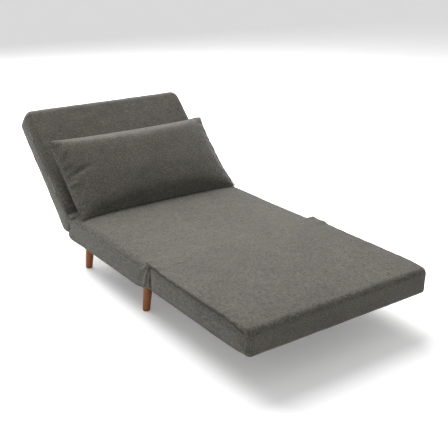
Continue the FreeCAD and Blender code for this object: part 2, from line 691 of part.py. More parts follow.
def support_pad(name, x):
    return box(name, (f"{x} - 30", "-support_out - 8", BAR_HIGH),
               (f"{x} + 30", "-support_out + 8", "under_side - 0.5"))


both_sides("support_guide", guide)
both_sides("support_slide_bar", slide_bar)
node(box("support_cross_bar_shape", ("-support_half - bar_wide / 2", f"-support_out - {SUPPORT_BAR}", BAR_LOW),
         ("support_half + bar_wide / 2", f"-support_out + {SUPPORT_BAR}", BAR_HIGH)), "support_cross_bar")
both_sides("support_leg", support_leg)
pair("support_feet", support_foot)
pads = [support_pad(f"support_pad_{n}", x) for n, x in enumerate(PADS)]
node(group("support_pads_group", pads), "support_pads")
node(group("guide_screws_group", guide_bores("guide_screw", f"{BAR_HIGH} + guide_room")), "guide_screws")

# ---------------------------------------------------------------- pillow

PILLOW_LIFT = "back_half + pillow_thick + 0.5"      # pivot line to the pillow's seam plane
END_BULGE = 1.5                                     # how much fuller the lens along its width is
ZIP_HALF, ZIP_TALL = 250, 1.5                       # half the zip's length, and half its height


def pillow_block(name, inset):
    """A knife-edged pillow: two lenses, one along the width and one up the backrest."""
    def lens(part, half, thick, along):
        radius = f"(({half}) ^ 2 + ({thick}) ^ 2) / (2 * ({thick}))"
        made = []
        for side, sign in (("under", 1), ("upper", -1)):
            level = f"{PILLOW_LIFT} + {sign} * ({radius} - ({thick}))"
            start = ("-width", "pillow_up", level) if along == "x" else ("0", "pillow_up - width", level)
            made.append(rod(f"{part}_{side}", radius, start, "2 * width", along=along, frame="back"))
        return made

    tall = lens(name + "_tall", f"pillow_high - {inset}", f"pillow_thick - {inset}", "x")
    wide = lens(name + "_wide", f"pillow_wide - {inset}", f"{END_BULGE} * pillow_thick - {inset}", "y")
    return common(name, *tall, *wide)


pillow_outer = pillow_block("pillow_outer", 0)
node(cut("pillow_cover_shape", pillow_outer, pillow_block("pillow_inner", CELLS["cloth"])), "pillow_cover")
node(pillow_block("pillow_filling", CELLS["cloth"]), "pillow_filling")
node(box("pillow_zip_shape", (-ZIP_HALF, "pillow_up - pillow_high - cloth", f"{PILLOW_LIFT} - {ZIP_TALL}"),
         (ZIP_HALF, "pillow_up - pillow_high", f"{PILLOW_LIFT} + {ZIP_TALL}"), "back"), "pillow_zip")

# ---------------------------------------------------------------- checks and export

doc.recompute()
for thing in doc.Objects:
    if "Invalid" in thing.State or "Error" in thing.State:
        raise RuntimeError(f"{thing.Name} failed: {thing.State}")

os.makedirs("parts", exist_ok=True)
for thing in nodes:
    shape = thing.Shape
    if shape.isNull() or not shape.isValid() or not shape.Solids:
        raise RuntimeError(f"{thing.Label} is not a valid solid")
    shape.exportStep(os.path.join("parts", thing.Label + ".step"))
    limits = shape.BoundBox
    print(f"{thing.Label:24s} {len(shape.Solids):2d} solids {shape.Volume / 1000:9.1f} cm3 "
          f"x {limits.XMin:7.1f} {limits.XMax:7.1f} y {limits.YMin:7.1f} {limits.YMax:7.1f} "
          f"z {limits.ZMin:6.1f} {limits.ZMax:6.1f}")
print(len(nodes), "sub-parts")
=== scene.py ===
import json
import math

import bpy
import numpy as np
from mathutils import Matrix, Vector, noise


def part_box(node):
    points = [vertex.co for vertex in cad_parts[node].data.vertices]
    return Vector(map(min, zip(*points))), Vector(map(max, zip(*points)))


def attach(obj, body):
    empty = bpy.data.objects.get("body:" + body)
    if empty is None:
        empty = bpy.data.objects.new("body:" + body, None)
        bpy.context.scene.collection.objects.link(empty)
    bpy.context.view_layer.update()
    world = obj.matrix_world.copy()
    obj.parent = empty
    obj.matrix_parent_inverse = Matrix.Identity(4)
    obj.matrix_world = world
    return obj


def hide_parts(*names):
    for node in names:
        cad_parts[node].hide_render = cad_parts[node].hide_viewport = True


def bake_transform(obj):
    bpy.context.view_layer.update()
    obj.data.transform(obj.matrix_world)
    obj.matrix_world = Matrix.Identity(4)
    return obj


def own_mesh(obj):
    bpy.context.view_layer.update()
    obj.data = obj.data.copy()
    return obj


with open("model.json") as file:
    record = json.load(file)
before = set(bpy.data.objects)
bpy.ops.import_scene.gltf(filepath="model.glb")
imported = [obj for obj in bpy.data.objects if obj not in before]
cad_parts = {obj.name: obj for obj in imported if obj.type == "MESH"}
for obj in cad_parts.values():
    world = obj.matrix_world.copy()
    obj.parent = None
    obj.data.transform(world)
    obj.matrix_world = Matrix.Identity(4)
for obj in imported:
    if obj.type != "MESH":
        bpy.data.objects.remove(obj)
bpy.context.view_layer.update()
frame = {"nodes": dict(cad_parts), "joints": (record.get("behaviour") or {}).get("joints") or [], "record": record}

# ------------------------------------------------------------------ places read from the frame

MM = 0.001
joints = {joint["name"]: joint for joint in frame["joints"]}
FOLD = Vector(joints["front_fold"]["pos_m"])            # the fold hinge's axis
PIVOT = Vector(joints["back_recline"]["pos_m"])         # the backrest's pivot
RECLINE = math.radians(-joints["back_recline"]["range_deg"][0])  # its slope: the lower limit is flat
UP = Vector((0, math.cos(RECLINE), math.sin(RECLINE)))  # up along the backrest
OUT = Vector((0, -math.sin(RECLINE), math.cos(RECLINE)))  # out of the backrest's front face

front_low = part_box("front_cover")[0]
seat_low, seat_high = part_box("seat_cover")
lining_low, lining_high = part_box("dust_cover")
HALF = seat_high.x                                      # half the width of every section
PLUMP = 3 * MM                                          # the padding stands this far proud of the CAD
UNDER = seat_low.z                                      # underside of the seat and the front section
BACK_HALF = 49 * MM                                     # half the backrest's thickness
BACK_END = 543 * MM                                     # pivot to the backrest's top end
GROOVE = 51.5 * MM                                      # radius of the seat's hollow round the pivot


# ------------------------------------------------------------------ materials

class Nodes:
    """A short way to build one procedural material."""

    def __init__(self, name):
        self.material = bpy.data.materials.new(name)
        self.material.use_nodes = True
        self.tree = self.material.node_tree
        self.shader = self.tree.nodes["Principled BSDF"]
        self.place = self.add("ShaderNodeTexCoord").outputs["Object"]

    def add(self, kind, **settings):
        made = self.tree.nodes.new(kind)
        for name, value in settings.items():
            setattr(made, name, value)
        return made

    def link(self, source, target):
        self.tree.links.new(source, target)

    def stretched(self, scale):
        """Object coordinates scaled along each axis."""
        mapping = self.add("ShaderNodeMapping")
        mapping.inputs["Scale"].default_value = scale
        self.link(self.place, mapping.inputs["Vector"])
        return mapping.outputs["Vector"]

    def noise(self, scale, detail=4.0, roughness=0.55, place=None):
        made = self.add("ShaderNodeTexNoise")
        made.inputs["Scale"].default_value = scale
        made.inputs["Detail"].default_value = detail
        made.inputs["Roughness"].default_value = roughness
        self.link(place or self.place, made.inputs["Vector"])
        return made.outputs["Fac"]

    def ramp(self, source, stops):
        made = self.add("ShaderNodeValToRGB")
        elements = made.color_ramp.elements
        while len(elements) < len(stops):
            elements.new(0.5)
        for element, (place, color) in zip(elements, stops):
            element.position = place
            element.color = (*color, 1)
        self.link(source, made.inputs["Fac"])
        return made.outputs["Color"]

    def math(self, operation, first, second):
        made = self.add("ShaderNodeMath", operation=operation)
        for socket, value in zip(made.inputs, (first, second)):
            if isinstance(value, (int, float)):
                socket.default_value = value
            else:
                self.link(value, socket)
        return made.outputs["Value"]

    def weighted(self, first, first_share, second, second_share):
        """The sum of two values, each times its share."""
        return self.math("ADD", self.math("MULTIPLY", first, first_share),
                         self.math("MULTIPLY", second, second_share))

    def multiplied(self, factor, first, second):
        """A colour multiplied by another, as far as the factor says."""
        made = self.add("ShaderNodeMix", data_type="RGBA", blend_type="MULTIPLY")
        made.inputs["Factor"].default_value = factor
        for name, source in (("A", first), ("B", second)):
            socket = [s for s in made.inputs if s.name == name and s.type == "RGBA"][0]
            self.link(source, socket)
        return [s for s in made.outputs if s.type == "RGBA"][0]

    def bump(self, height, distance, strength, normal=None):
        made = self.add("ShaderNodeBump")
        made.inputs["Strength"].default_value = strength
        made.inputs["Distance"].default_value = distance
        self.link(height, made.inputs["Height"])
        if normal:
            self.link(normal, made.inputs["Normal"])
        return made.outputs["Normal"]

    def finish(self, color, roughness, normal=None, **values):
        """Link what varies over the surface, and set the shader's other values directly."""
        self.link(color, self.shader.inputs["Base Color"])
        self.link(roughness, self.shader.inputs["Roughness"])
        if normal:
            self.link(normal, self.shader.inputs["Normal"])
        for name, value in values.items():
            self.shader.inputs[name.replace("_", " ")].default_value = value
        return self.material


def shade(color, factor):
    return tuple(channel * factor for channel in color)


def grey(level):
    return (level,) * 3


def upholstery(name, color):
    """A short-pile furnishing fabric: ribs one way, a heathered nap and broad brushed patches."""
    m = Nodes(name)
    fine = m.noise(430, 3, 0.6)
    nap = m.noise(1, 4, 0.65, m.stretched((200, 100, 185)))
    mottle = m.noise(34, 5, 0.6)
    patch = m.noise(7, 3, 0.5)
    rib = m.noise(1, 2, 0.5, m.stretched((620, 60, 240)))
    weave = m.math("ADD", fine, rib)
    broad = m.ramp(m.weighted(mottle, 0.55, patch, 0.45),
                   [(0.38, shade(color, 0.88)), (0.5, color), (0.62, shade(color, 1.12))])
    pile = m.ramp(m.weighted(nap, 0.5, weave, 0.25),
                  [(0.38, grey(0.40)), (0.5, grey(1)), (0.62, (1.75, 1.75, 1.70))])
    whole = m.multiplied(1.0, broad, pile)
    rough = m.ramp(nap, [(0.3, grey(0.82)), (0.7, grey(0.97))])
    coarse = m.bump(m.math("ADD", nap, mottle), 1.8 * MM, 0.5)
    normal = m.bump(weave, 0.7 * MM, 0.7, coarse)
    return m.finish(whole, rough, normal, Sheen_Weight=0.15, Sheen_Roughness=0.5, Specular_IOR_Level=0.2)


def wood(name, light, dark, along, rough):
    """Timber with grain that runs along one axis of the part's frame."""
    m = Nodes(name)
    scale = [120.0, 120.0, 120.0]
    scale[along] = 7.0
    grain = m.noise(1, 6, 0.6, m.stretched(scale))
    pores = m.noise(1, 2, 0.7, m.stretched([s * 5 for s in scale]))
    tone = m.noise(6, 2)
    color = m.ramp(m.weighted(grain, 0.8, tone, 0.2),
                   [(0.36, dark), (0.52, light), (0.7, shade(light, 1.18))])
    color = m.multiplied(0.35, color, m.ramp(pores, [(0.42, shade(dark, 0.6)), (0.5, grey(1))]))
    roughness = m.ramp(grain, [(0.3, grey(rough + 0.14)), (0.7, grey(rough - 0.06))])
    relief = m.bump(m.math("ADD", grain, pores), 0.6 * MM, 0.35)
    return m.finish(color, roughness, relief, Specular_IOR_Level=0.3)


def metal(name, color, rough, metallic=1.0):
    """Plated or painted steel with rolling marks and light scuffs."""
    m = Nodes(name)
    marks = m.noise(1, 4, 0.6, m.stretched((60, 500, 500)))
    scuffs = m.noise(45, 6, 0.7)
    tone = m.ramp(scuffs, [(0.35, shade(color, 0.82)), (0.6, color), (0.8, shade(color, 1.12))])
    roughness = m.ramp(marks, [(0.3, grey(rough - 0.07)), (0.7, grey(rough + 0.1))])
    return m.finish(tone, roughness, m.bump(marks, 0.2 * MM, 0.3), Metallic=metallic)


def plain(name, color, rough, grain, depth):
    """Felt, foam, moulded plastic or non-woven cloth, told apart by grain size and depth."""
    m = Nodes(name)
    spots = m.noise(grain, 5, 0.65)
    broad = m.noise(20, 2)
    tone = m.ramp(m.weighted(spots, 0.7, broad, 0.3),
                  [(0.35, shade(color, 0.72)), (0.5, color), (0.66, shade(color, 1.3))])
    roughness = m.ramp(spots, [(0.3, grey(rough - 0.08)), (0.7, grey(min(rough + 0.06, 1.0)))])
    return m.finish(tone, roughness, m.bump(spots, depth, 0.6))


ALONG_X, ALONG_Y, ALONG_Z = 0, 1, 2     # which way a timber's grain runs
FABRIC_COLOR = (0.066, 0.0615, 0.0505)  # warm grey
LEG_LIGHT, LEG_DARK = (0.25, 0.080, 0.012), (0.11, 0.032, 0.005)
BIRCH_LIGHT, BIRCH_DARK = (0.62, 0.46, 0.28), (0.45, 0.31, 0.17)
PINE_LIGHT, PINE_DARK = (0.66, 0.47, 0.26), (0.48, 0.30, 0.14)

fabric = upholstery("upholstery_fabric", FABRIC_COLOR)
# painted shadow: the fabric at 0.38 of its colour, worn by the welts along the front section's upper side edges,
# stands in for the shade line under the welted edge
welt_painted_shadow = upholstery("upholstery_seam_painted_shadow", shade(FABRIC_COLOR, 0.38))
slot_materials = {
    "upholstery": fabric,
    "foam": plain("foam_core", (0.75, 0.68, 0.45), 0.9, 700, 0.8 * MM),
    "dust_cloth": plain("dust_cloth_black", (0.022, 0.022, 0.023), 0.92, 900, 0.4 * MM),
    "leg_wood": wood("leg_beech_stained", LEG_LIGHT, LEG_DARK, ALONG_Z, 0.38),
    "plywood": wood("plywood_birch", BIRCH_LIGHT, BIRCH_DARK, ALONG_X, 0.55),
    "frame_pine": wood("frame_pine", PINE_LIGHT, PINE_DARK, ALONG_Y, 0.6),
    "felt": plain("felt_brown", (0.10, 0.065, 0.04), 0.97, 1200, 0.6 * MM),
    "foot_plastic": plain("foot_plastic_black", (0.02, 0.02, 0.02), 0.5, 400, 0.1 * MM),
    "zip_plastic": plain("zip_plastic_grey", (0.05, 0.048, 0.042), 0.45, 800, 0.2 * MM),
    "black_steel": metal("steel_black_painted", (0.022, 0.022, 0.024), 0.42, 0.3),
    "zinc_steel": metal("steel_zinc_plated", (0.42, 0.42, 0.40), 0.38),
    "fastener_steel": metal("steel_fasteners", (0.38, 0.38, 0.37), 0.33),
}
node_slots = {part["node"]: part["material_slot"] for part in frame["record"]["subparts"]}
for node_name, cad_object in frame["nodes"].items():
    cad_object.data.materials.clear()
    cad_object.data.materials.append(slot_materials[node_slots[node_name]])


# ------------------------------------------------------------------ mesh helpers

def make_object(name, points, faces, material):
    mesh = bpy.data.meshes.new(name)
    mesh.from_pydata([tuple(p) for p in points], [], [tuple(f) for f in faces])
    mesh.update()
    mesh.polygons.foreach_set("use_smooth", [True] * len(mesh.polygons))
    mesh.materials.append(material)
    made = bpy.data.objects.new(name, mesh)
    bpy.context.scene.collection.objects.link(made)
    return made


def positions(thing):
    flat = np.zeros(len(thing.data.vertices) * 3)
    thing.data.vertices.foreach_get("co", flat)
    return flat.reshape(-1, 3)


def normals(thing):
    flat = np.zeros(len(thing.data.vertices) * 3)
    thing.data.vertices.foreach_get("normal", flat)
    return flat.reshape(-1, 3)


def move_to(thing, points):
    thing.data.vertices.foreach_set("co", np.asarray(points, float).ravel())
    thing.data.update()


def smoothstep(low, high, value):
    t = np.clip((np.asarray(value, float) - low) / (high - low), 0, 1)
    return t * t * (3 - 2 * t)


def bell(value, width):
    """A smooth bump: 1 at zero, falling off over the given width."""
    return np.exp(-(np.asarray(value, float) / width) ** 2)


def settle(thing):
    """Apply every modifier of an object."""
    mesh = bpy.data.meshes.new_from_object(thing.evaluated_get(bpy.context.evaluated_depsgraph_get()))
    thing.modifiers.clear()
    thing.data = mesh


def rest_on(value, floor, soft):
    """Keep values above a floor, flattening them softly as they come near it."""
    x = (value - floor) / soft
    return floor + soft * np.where(x > 4, x, np.log1p(np.exp(np.clip(x * 1.6, -50, 50))) / 1.6)


def lumps(points, size, seed):
    """Smooth noise between -1 and 1 at each point, with lumps of about the given size."""
    shift = Vector((seed * 7.3, seed * 3.1, seed * 5.7))
    return np.array([noise.noise(Vector(p) / size + shift) for p in points])


def spaced(start, stop, coarse, fine, margin):
    """Places from start to stop, with fine steps within a margin of both ends."""
    length = stop - start
    edge = int(round(margin / fine))
    middle = int(round((length - 2 * margin) / coarse))
    first = np.linspace(0, margin, edge + 1)[:-1]
    inner = np.linspace(margin, length - margin, middle + 1)[:-1]
    last = np.linspace(length - margin, length, edge + 1)
    return start + np.concatenate([first, inner, last])


ARC_POINTS = 17             # points on each rounded corner, an odd number


def corner_arc(before, corner, after, radius):
    """Points of the arc that rounds a corner, from the side before it to the side after it."""
    back, ahead = before - corner, after - corner
    back, ahead = back / np.linalg.norm(back), ahead / np.linalg.norm(ahead)
    half = math.acos(np.clip(back @ ahead, -1, 1)) / 2
    centre = corner + (back + ahead) / np.linalg.norm(back + ahead) * radius / math.sin(half)
    start, stop = (corner + way * radius / math.tan(half) - centre for way in (back, ahead))
    arc = [start * (1 - t) + stop * t for t in np.linspace(0, 1, ARC_POINTS)]
    return [centre + point / np.linalg.norm(point) * radius for point in arc]


def evenly(path, count):
    """A path's points again, count of them, at even steps."""
    path = np.array(path)
    along = np.concatenate([[0], np.cumsum(np.linalg.norm(np.diff(path, axis=0), axis=1))])
    wanted = np.linspace(0, along[-1], count)
    return np.stack([np.interp(wanted, along, path[:, axis]) for axis in range(path.shape[1])], 1)


def four_edges(corners, radii, columns, rows):
    """Round a section's four corners and split it at the middle of each arc.

    The corners go round from the near lower one by way of the far lower one. The edges
    come back as bottom, top, near and far.
    """
    corners = [np.array(corner, float) for corner in corners]
    arcs = [corner_arc(corners[n - 1], corners[n], corners[(n + 1) % 4], radii[n]) for n in range(4)]
    middle = ARC_POINTS // 2
    edges = [arcs[n][middle:] + arcs[(n + 1) % 4][:middle + 1] for n in range(4)]
    counts = (columns, rows, columns, rows)
    bottom, far, top, near = (evenly(edge, count) for edge, count in zip(edges, counts))
    return bottom, top[::-1], near[::-1], far


def filled(bottom, top, near, far):
    """Fill the area between four edges with a grid (a Coons patch)."""
    v = np.linspace(0, 1, len(near))[:, None, None]
    u = np.linspace(0, 1, len(bottom))[None, :, None]
    ruled = (1 - v) * bottom[None] + v * top[None] + (1 - u) * near[:, None] + u * far[:, None]
    corner = ((1 - u) * (1 - v) * bottom[0] + u * (1 - v) * bottom[-1]
              + (1 - u) * v * top[0] + u * v * top[-1])
    return ruled - corner


def skin(rings, count):
    """The faces between neighbouring rings of count points each."""
    faces = []
    for r in range(rings - 1):
        for c in range(count):
            d = (c + 1) % count
            faces.append((r * count + c, (r + 1) * count + c, (r + 1) * count + d, r * count + d))
    return faces


def closed_skin(rings, count):
    """The same, with one more face over each end."""
    last = (rings - 1) * count
    return skin(rings, count) + [tuple(range(count)), tuple(range(last, last + count))[::-1]]


def border_cells(columns, rows):
    """The border cells (row, column) of a grid, in order round it from the near lower corner."""
    return ([(0, c) for c in range(columns)] + [(r, columns - 1) for r in range(1, rows)]
            + [(rows - 1, c) for c in range(columns - 2, -1, -1)]
            + [(r, 0) for r in range(rows - 2, 0, -1)])


def end_grid(outline, border, columns, rows):
    """Fill a closed outline with a grid whose border cells are the outline's points."""
    edges = ([(0, c) for c in range(columns)], [(rows - 1, c) for c in range(columns)],
             [(r, 0) for r in range(rows)], [(r, columns - 1) for r in range(rows)])
    return filled(*(np.array([outline[border[key]] for key in keys]) for keys in edges))


ROUND_RINGS = 7             # rings over the rounding between a section and a side
COARSE, FINE = 7 * MM, 3.5 * MM     # steps between rings: in the middle, and near the sides
FINE_MARGIN = 28 * MM       # width of the fine steps at each side


def upholstered(name, corners, radii, columns, rows, side_round, crown, half):
    """A padded block: a closed section, run along X between two rounded sides.

    side_round(loop) gives the radius between the section and the sides at each point of the
    loop, and crown is how far the sides swell beyond that rounding.
    """
    bottom, top, near, far = four_edges(corners, radii, columns, rows)
    loop = np.concatenate([bottom[:-1], far[:-1], top[::-1][:-1], near[::-1][:-1]])
    count = len(loop)
    radius = side_round(loop)
    tangent = np.roll(loop, -1, 0) - np.roll(loop, 1, 0)
    tangent /= np.linalg.norm(tangent, axis=1)[:, None]
    inset = loop + np.stack([-tangent[:, 1], tangent[:, 0]], 1) * radius[:, None]
    outer = half - crown

    def rounding(sign, angle):
        section = inset + (loop - inset) * math.cos(angle)
        return sign * (outer - radius * (1 - math.sin(angle))), section

    arcs = np.linspace(0, math.pi / 2, ROUND_RINGS)
    widest = outer - radius.max() - 2 * MM
    reach = outer - radius - widest
    rings = [rounding(-1, angle) for angle in arcs[::-1]]
    rings += [(-widest - reach * part, loop) for part in (2 / 3, 1 / 3)]
    rings += [(np.full(count, x), loop) for x in spaced(-widest, widest, COARSE, FINE, FINE_MARGIN)]
    rings += [(widest + reach * part, loop) for part in (1 / 3, 2 / 3)]
    rings += [rounding(1, angle) for angle in arcs]
    points = [np.column_stack([x, section]) for x, section in rings]
    faces = skin(len(rings), count)
    total = len(rings) * count
    border = {cell: number for number, cell in enumerate(border_cells(columns, rows))}
    grid = end_grid(inset, border, columns, rows)
    for sign, ring in ((-1, 0), (1, len(rings) - 1)):
        number = {}
        for r in range(rows):
            for c in range(columns):
                if (r, c) in border:
                    number[r, c] = ring * count + border[r, c]
                    continue
                number[r, c] = total
                total += 1
                depth = np.linalg.norm(inset - grid[r, c], axis=1).min()
                swell = crown * smoothstep(0, 30 * MM, depth)
                points.append(np.array([[sign * (outer + swell), *grid[r, c]]]))
        for r in range(rows - 1):
            for c in range(columns - 1):
                quad = (number[r, c], number[r, c + 1], number[r + 1, c + 1], number[r + 1, c])
                faces.append(quad if sign > 0 else quad[::-1])
    made = make_object(name, np.concatenate(points), faces, fabric)
    outward = sum(made.data.vertices[f.vertices[0]].co.dot(f.normal) * f.area for f in made.data.polygons)
    if outward < 0:
        made.data.flip_normals()
        made.data.update()
    return made, inset


TUBE_SIDES = 8


def tube(name, path, radius, material, closed=True):
    """A thin tube along a path of points, such as the welt of a seam."""
    path = np.array(path)
    ahead = np.roll(path, -1, 0) - np.roll(path, 1, 0)
    if not closed:
        ahead[0], ahead[-1] = path[1] - path[0], path[-1] - path[-2]
    ahead /= np.linalg.norm(ahead, axis=1)[:, None]
    guide = np.where(np.abs(ahead[:, :1]) > 0.8, [[0, 0, 1.0]], [[1.0, 0, 0]])
    first = np.cross(ahead, guide)
    first /= np.linalg.norm(first, axis=1)[:, None]
    second = np.cross(ahead, first)
    lines = []
    for angle in np.arange(TUBE_SIDES) * 2 * math.pi / TUBE_SIDES:
        lines.append(path + radius * (math.cos(angle) * first + math.sin(angle) * second))
    points = np.stack(lines, 1).reshape(-1, 3)
    rings = np.arange(len(path) * TUBE_SIDES).reshape(-1, TUBE_SIDES).tolist()
    following = rings[1:] + rings[:1] if closed else rings[1:]
    faces = []
    for here, after in zip(rings, following):
        for side in range(TUBE_SIDES):
            other = (side + 1) % TUBE_SIDES
            faces.append((here[side], here[other], after[other], after[side]))
    if not closed:
        faces += [rings[0][::-1], rings[-1]]
    return make_object(name, points, faces, material)


def round_corner(first, second, limit_first, limit_second, radius):
    """Draw the corner where two coordinates both end in to a quarter circle."""
    a = (np.abs(first) - (limit_first - radius)) / radius
    b = (second - (limit_second - radius)) / radius
    inside = (a > 0) & (b > 0)
    a, b = np.clip(a, 0, 1), np.clip(b, 0, 1)
    moved_first = np.sign(first) * (limit_first - radius + radius * a * np.sqrt(1 - b * b / 2))
    moved_second = limit_second - radius + radius * b * np.sqrt(1 - a * a / 2)
    return np.where(inside, moved_first, first), np.where(inside, moved_second, second)


def slab_strip(name, path, thick, half, steps, wave):
    """A strip of cloth with a real thickness: a path of (y, z) points, run along X."""
    path = np.array(path)
    ahead = np.gradient(path, axis=0)
    ahead /= np.linalg.norm(ahead, axis=1)[:, None]
    out = np.stack([-ahead[:, 1], ahead[:, 0]], 1)
    fade = np.sin(np.linspace(0, math.pi, len(path)))[:, None] ** 0.5
    section = np.concatenate([path + out * thick * fade, path[::-1][1:-1]])
    points = [(x, y, z) for x in np.linspace(-half, half, steps) for y, z in section]
    made = make_object(name, points, closed_skin(steps, len(section)), fabric)
    spots = positions(made)
    spots[:, 2] += wave(spots)
    move_to(made, spots)
    return made


# ------------------------------------------------------------------ what the cushions share

GAP = 0.05 * MM             # fold line to the cloth of either hinge face
TOP = FOLD.z + 1.0 * MM     # tops of the seat and the front section
WIDE = HALF + PLUMP         # half the width of every cushion
COLUMNS, SIDE_ROWS = 124, 26        # points along a section's top, and along its ends
FOLD_RISE = 2.2 * MM        # rise of the tops towards the fold, to cover the hinge's knuckles
FOLD_SWELL = 4.5 * MM       # more rise beside the fold, at both sides
SIDE_SAG, SAG_WIDTH = 7 * MM, 70 * MM       # fall of the seat's top towards both sides


def near_side(spots, width):
    """1 at both sides of the sections, falling off over a width."""
    return bell(np.abs(spots[:, 0]) - WIDE, width)


def from_fold(spots):
    return np.abs(spots[:, 1] - FOLD.y)


def fold_swell(spots):
    """The cloth rises a little beside the fold at both sides."""
    beside = bell(from_fold(spots) - 36 * MM, 15 * MM)
    return near_side(spots, 40 * MM) * FOLD_SWELL * beside


def to_fold(spots):
    """The tops rise towards the fold."""
    return FOLD_RISE * bell(from_fold(spots), 150 * MM)


def surface_life(thing, seed, amount):
    """Slight unevenness of the padding and small ripples of the cloth over it."""
    spots, out = positions(thing), normals(thing)
    rise = 1.2 * lumps(spots, 160 * MM, seed) + 0.7 * lumps(spots, 50 * MM, seed + 1)
    rise += 0.35 * lumps(spots, 20 * MM, seed + 2)
    free = smoothstep(1 * MM, 20 * MM, from_fold(spots))
    move_to(thing, spots + out * (rise * free * amount * MM)[:, None])


def to_world(across, up, out):
    """Points given across the bed, up along the backrest and out of its front face."""
    world = np.outer(up, np.array(UP)) + np.outer(out, np.array(OUT)) + np.array(PIVOT)
    world[:, 0] = across
    return world


# ------------------------------------------------------------------ front section

FRONT_RADII = (16 * MM, 13 * MM, 4 * MM, 24 * MM)   # foot low, fold low, fold high, foot high
FRONT_CROWN = 3.5 * MM      # swell of its two sides
FOOT_CORNER = 22 * MM       # rounding of its foot corners, seen from above
FOOT_DROP = 3 * MM          # fall of its top at the foot
WELT = 2.0 * MM             # radius of the welt along each upper side edge
WELT_IN, WELT_DOWN = 2.6 * MM, 3.0 * MM     # its centre line: in from the side, below the seam


def make_front():
    foot, fold = front_low.y - PLUMP, FOLD.y - GAP
    corners = [(foot, UNDER), (fold, UNDER), (fold, TOP), (foot, TOP)]

    def side_round(loop):
        high = smoothstep(UNDER + 20 * MM, TOP - 20 * MM, loop[:, 1])
        at_foot = bell(loop[:, 0] - foot, 60 * MM)
        at_fold = bell(loop[:, 0] - fold, 12 * MM)
        return (8 - 3 * high + 10 * at_foot) * (1 - 0.5 * at_fold) * MM

    made, seam = upholstered("front_cushion", corners, FRONT_RADII, COLUMNS, SIDE_ROWS,
                             side_round, FRONT_CROWN, WIDE)
    move_to(made, front_shape(positions(made), foot))
    surface_life(made, 3, 0.9)
    for side, sign in (("left", -1), ("right", 1)):
        upper = seam[(seam[:, 1] > TOP - 14 * MM) & (seam[:, 0] > foot + 26 * MM)]
        path = np.column_stack([np.full(len(upper), sign * (WIDE - WELT_IN)), upper])
        path[:, 2] -= WELT_DOWN
        # painted shadow: each welt sits just below the seam in the darkened fabric, drawing the shade line under
        # the upper side edge
        welt = tube(f"front_seam_{side}", front_shape(path, foot), WELT, welt_painted_shadow, closed=False)
        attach(welt, "front_section")
    return made


def front_shape(spots, foot):
    """Soft foot corners, a little sag at the sides and puckers along the side seams."""
    spots = spots.copy()
    x, away = round_corner(spots[:, 0], -spots[:, 1], WIDE, -foot, FOOT_CORNER)
    spots[:, 0], spots[:, 1] = x, -away
    on_top = smoothstep(TOP - 30 * MM, TOP - 8 * MM, spots[:, 2])
    ripple = np.sin(spots[:, 1] / (8 * MM) + 3 * lumps(spots, 60 * MM, 5))
    ripple *= 0.6 + 0.4 * lumps(spots, 100 * MM, 6)
    free = smoothstep(2 * MM, 25 * MM, from_fold(spots))
    sag = 1.5 * MM * near_side(spots, 45 * MM) + 1.0 * MM * ripple * near_side(spots, 14 * MM)
    spots[:, 2] += on_top * (to_fold(spots) + fold_swell(spots) - free * sag)
    spots[:, 2] -= on_top * FOOT_DROP * bell(spots[:, 1] - foot, 60 * MM)
    at_edge = bell(spots[:, 2] - TOP + 12 * MM, 10 * MM) * near_side(spots, 9 * MM)
    spots[:, 0] += np.sign(spots[:, 0]) * 0.8 * MM * ripple * at_edge
    return spots


front_cushion = make_front()
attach(front_cushion, "front_section")
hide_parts("front_cover", "front_foam")

# ------------------------------------------------------------------ seat

SEAT_RADII = (4 * MM, 26 * MM, 12 * MM, 4 * MM)     # fold low, rear low, rear high, fold high
SEAT_CROWN = 1 * MM         # swell of its two sides
HANG = 18 * MM              # fall of its lower edge along both sides, behind the fold
RECESS = 4 * MM             # its underside is drawn up this far over the dust cover
LOW_CORNER = 50 * MM        # rounding of its lower corner at the fold, at both sides only
REAR_BULGE, REAR_DROP = 20 * MM, 5 * MM     # padding behind and below its rear lower edge
PLEATS, PLEAT_DEPTH = 15, 3.2 * MM          # how closely the pleats fan out, and how deep


def make_seat():
    fold, rear = FOLD.y + GAP, seat_high.y
    corners = [(fold, UNDER), (rear, UNDER), (rear, TOP), (fold, TOP)]

    def side_round(loop):
        high = smoothstep(UNDER + 20 * MM, TOP - 20 * MM, loop[:, 1])
        at_fold = bell(loop[:, 0] - fold, 30 * MM)
        at_rear = bell(loop[:, 0] - rear, 12 * MM)
        return (9 + 17 * high) * (1 - 0.7 * at_fold) * (1 - 0.6 * at_rear) * MM

    made, _ = upholstered("seat_cushion", corners, SEAT_RADII, COLUMNS, SIDE_ROWS,
                          side_round, SEAT_CROWN, WIDE)
    spots = seat_gathers(positions(made))
    shape_underside(spots, fold)
    on_top = smoothstep(TOP - 40 * MM, TOP - 5 * MM, spots[:, 2])
    sag = smoothstep(2 * MM, 60 * MM, from_fold(spots)) * SIDE_SAG * near_side(spots, SAG_WIDTH)
    spots[:, 2] += on_top * (to_fold(spots) + fold_swell(spots) - sag)
    shape_low_edges(spots, fold, rear)
    make_room_for_pivot(spots)
    move_to(made, spots)
    surface_life(made, 11, 1.0)
    return made


def seat_gathers(spots):
    """Cloth gathered into pleats that fan out from the upper end of the fold on both sides."""
    spots = spots.copy()
    away = from_fold(spots)
    drop = TOP - spots[:, 2]
    turn = np.arctan2(drop + 10 * MM, away + 6 * MM)
    fan = np.cos(turn * PLEATS + 2.0 * lumps(spots, 50 * MM, 21))
    fan *= smoothstep(8 * MM, 30 * MM, np.hypot(away, drop))
    fan *= bell(away, 60 * MM) * smoothstep(HALF - 28 * MM, HALF - 6 * MM, np.abs(spots[:, 0]))
    spots[:, 0] -= np.sign(spots[:, 0]) * PLEAT_DEPTH * fan
    return spots


